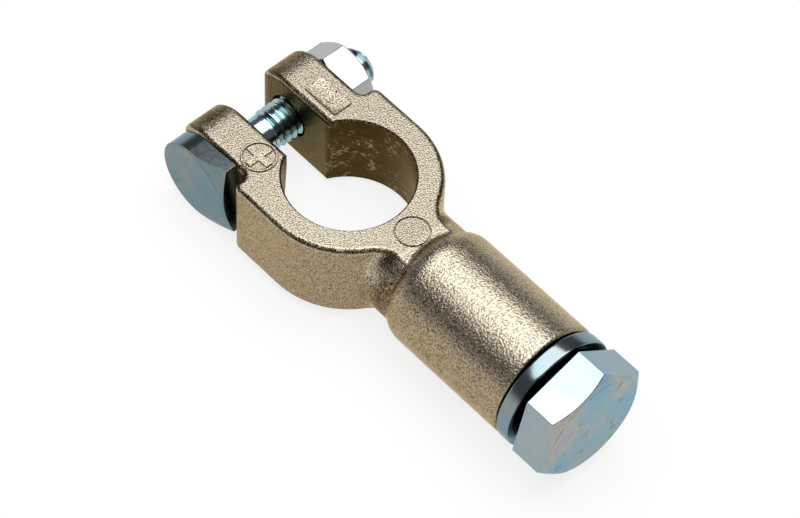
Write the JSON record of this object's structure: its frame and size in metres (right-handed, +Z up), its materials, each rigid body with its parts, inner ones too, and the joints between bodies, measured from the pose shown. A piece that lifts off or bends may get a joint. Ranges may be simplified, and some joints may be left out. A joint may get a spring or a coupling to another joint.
{
  "type": "battery terminal clamp",
  "caption": "Cast split-ring clamp for a tapered round battery post, with a pinch bolt through two ears and a round boss whose end bolt and spring washer hold the cable lug.",
  "frame": {"origin": "on the post bore's axis, in the plane of the clamp's top face", "axes": "+X from the bore to the cable bolt, +Y from the pinch bolt's head to its nut, +Z up, away from the battery"},
  "size_m": [0.0691, 0.0305, 0.018],
  "materials": {
    "cast_body": "sand-cast brass with a thin pale plating",
    "pinch_fasteners": "steel, clear-blue zinc plating",
    "cable_fasteners": "steel, clear-blue zinc plating"
  },
  "bodies": {
    "casting": {"clamp_body": "cast_body"},
    "nut": {"pinch_nut": "pinch_fasteners"},
    "bolt": {"pinch_bolt": "pinch_fasteners"},
    "washer": {"spring_washer": "cable_fasteners"},
    "end_bolt": {"cable_bolt": "cable_fasteners"}
  },
  "joints": [
    {"name": "nut_turn", "type": "hinge", "parent": "casting", "child": "nut", "pos_m": [-0.01625, 0.01015, -0.0065], "axis": [0, 1, 0], "range_deg": [0, 1800.5]},
    {"name": "bolt_slide", "type": "slide", "parent": "casting", "child": "bolt", "axis": [0, -1, 0], "range_m": [0, 0.005]},
    {"name": "washer_slide", "type": "slide", "parent": "casting", "child": "washer", "axis": [1, 0, 0], "range_m": [0, 0.0135]},
    {"name": "end_bolt_turn", "type": "hinge", "parent": "washer", "child": "end_bolt", "pos_m": [0.0376, 0, -0.0067], "axis": [1, 0, 0], "range_deg": [0, 3240.5]}
  ],
  "couplings": [
    {"joint": "nut_turn", "follows": "bolt_slide", "rad_per_m": 6283.2},
    {"joint": "end_bolt_turn", "follows": "washer_slide", "rad_per_m": 4188.8}
  ]
}
